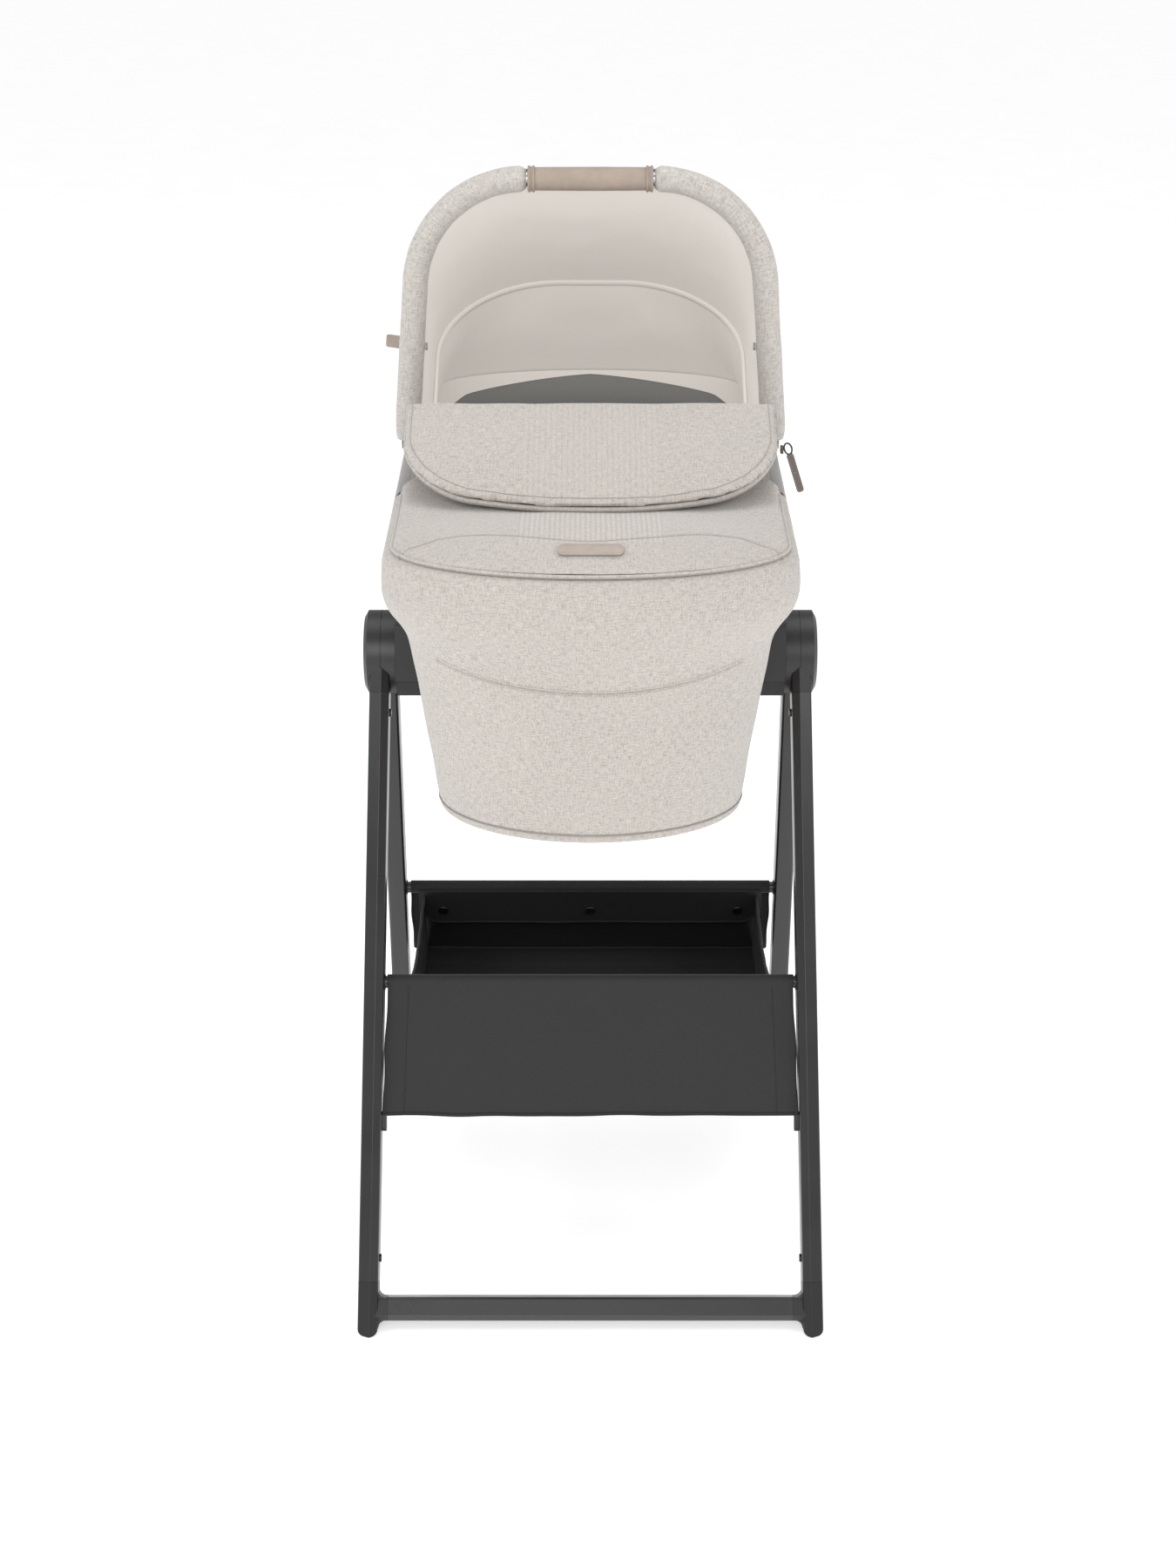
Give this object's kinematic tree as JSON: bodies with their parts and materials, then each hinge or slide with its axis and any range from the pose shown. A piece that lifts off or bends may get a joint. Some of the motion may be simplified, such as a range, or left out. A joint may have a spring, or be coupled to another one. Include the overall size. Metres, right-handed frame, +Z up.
{
  "type": "bassinet on stand",
  "caption": "Fabric carrycot with folding hood, padded apron and leather grip, clipped onto a folding A-frame stand with a storage basket.",
  "frame": {"origin": "on the floor, under the hub axis, at the middle of the stand", "axes": "+Z up, +Y towards the head end of the carrycot, +X to the right seen from the foot end"},
  "size_m": [0.5238, 0.8418, 1.2425],
  "materials": {
    "frame_tube": "satin dark grey powder coat",
    "frame_fitting": "satin dark grey",
    "black_plastic": "matt",
    "grey_plastic": "matt",
    "button_plastic": "satin",
    "rubber": "matt",
    "bar_tube": "satin",
    "screw_steel": "blackened",
    "inner_steel": "machined",
    "basket_fabric": "plain weave",
    "basket_lining": "plain weave",
    "snap_plastic": "gloss",
    "body_fabric": "heathered weave",
    "aluminium_tube": "satin",
    "board": "matt",
    "mattress_cover": "knit",
    "apron_fabric": "heathered weave, knitted centre",
    "flap_fabric": "knitted centre, piped edge",
    "leather": "smooth",
    "dark_metal": "aged",
    "rib_plastic": "matt",
    "canopy_fabric": "heathered weave, smooth lining",
    "sleeve_fabric": "melange weave"
  },
  "bodies": {
    "front_frame": {"front_leg_left": "frame_tube", "front_leg_right": "frame_tube", "front_foot_left": "frame_fitting", "front_foot_right": "frame_fitting", "front_crossbar": "frame_tube", "front_foot_pads": "rubber", "front_basket_bar": "bar_tube", "front_bar_brackets": "black_plastic", "front_screws": "screw_steel", "front_hub_left": "frame_fitting", "front_hub_right": "frame_fitting", "hub_caps": "frame_fitting", "hub_axles": "inner_steel", "button_springs": "inner_steel", "adaptor_left": "black_plastic", "adaptor_right": "black_plastic", "basket_front_panel": "basket_fabric", "basket_floor": "basket_lining", "basket_side_left": "basket_lining", "basket_side_right": "basket_lining", "basket_brackets": "grey_plastic"},
    "rear_frame": {"rear_leg_left": "frame_tube", "rear_leg_right": "frame_tube", "rear_foot_left": "frame_fitting", "rear_foot_right": "frame_fitting", "rear_crossbar": "frame_tube", "rear_foot_pads": "rubber", "rear_basket_bar": "bar_tube", "rear_bar_brackets": "black_plastic", "rear_screws": "screw_steel", "rear_hub_left": "frame_fitting", "rear_hub_right": "frame_fitting", "lock_gears": "inner_steel", "basket_rear_panel": "basket_fabric", "basket_snaps": "snap_plastic"},
    "carrycot": {"carrycot_shell": "body_fabric", "rim_frame": "aluminium_tube", "base_board": "board", "mattress": "mattress_cover", "carrycot_connectors": "black_plastic", "hood_mounts": "black_plastic", "apron": "apron_fabric", "apron_badge": "leather", "zip_slider": "dark_metal"},
    "hood_rib": {"canopy_rib": "rib_plastic", "canopy_rear": "canopy_fabric", "canopy_tab": "leather"},
    "hood_hoop": {"hood_hoop": "aluminium_tube", "hoop_sleeve_left": "sleeve_fabric", "hoop_sleeve_right": "sleeve_fabric", "hood_grip": "leather", "grip_collars": "leather", "hoop_snaps": "dark_metal", "canopy_front": "canopy_fabric"},
    "flap": {"apron_flap": "flap_fabric"},
    "puller": {"zip_puller": "leather"},
    "fold_button_left": {"fold_button_left": "button_plastic"},
    "fold_button_right": {"fold_button_right": "button_plastic"},
    "release_button_left": {"release_button_left": "button_plastic"},
    "release_button_right": {"release_button_right": "button_plastic"}
  },
  "joints": [
    {"name": "stand_fold", "type": "hinge", "parent": "front_frame", "child": "rear_frame", "pos_m": [0, 0, 0.699], "axis": [-1, 0, 0], "range_deg": [0, 45.2], "deforming": ["basket_floor", "basket_side_left", "basket_side_right"]},
    {"name": "carrycot_lift", "type": "slide", "parent": "front_frame", "child": "carrycot", "axis": [0, 0, 1], "range_m": [0, 0.08]},
    {"name": "hood_rib_turn", "type": "hinge", "parent": "carrycot", "child": "hood_rib", "pos_m": [0, 0.05, 0.932], "axis": [-1, 0, 0], "range_deg": [0, 18], "deforming": ["canopy_rear"]},
    {"name": "hood_hoop_turn", "type": "hinge", "parent": "hood_rib", "child": "hood_hoop", "pos_m": [0, 0.05, 0.932], "axis": [-1, 0, 0], "range_deg": [0, 50], "deforming": ["canopy_front"]},
    {"name": "flap_turn", "type": "hinge", "parent": "carrycot", "child": "flap", "pos_m": [0, -0.06, 1.001], "axis": [-1, 0, 0], "range_deg": [0, 135]},
    {"name": "zip_puller_swing", "type": "hinge", "parent": "carrycot", "child": "puller", "pos_m": [0.22, 0, 0.94], "axis": [0, -1, 0], "range_deg": [-6, 95]},
    {"name": "fold_button_left_press", "type": "slide", "parent": "front_frame", "child": "fold_button_left", "axis": [1, 0, 0], "range_m": [0, 0.0022], "stiffness_N_per_m": 900, "deforming": ["button_springs"]},
    {"name": "release_button_left_press", "type": "slide", "parent": "front_frame", "child": "release_button_left", "axis": [0, -1, 0], "range_m": [0, 0.004], "stiffness_N_per_m": 900},
    {"name": "fold_button_right_press", "type": "slide", "parent": "front_frame", "child": "fold_button_right", "axis": [-1, 0, 0], "range_m": [0, 0.0022], "stiffness_N_per_m": 900, "deforming": ["button_springs"]},
    {"name": "release_button_right_press", "type": "slide", "parent": "front_frame", "child": "release_button_right", "axis": [0, -1, 0], "range_m": [0, 0.004], "stiffness_N_per_m": 900}
  ],
  "couplings": [
    {"joint": "hood_rib_turn", "follows": "hood_hoop_turn", "ratio": 0.36}
  ]
}
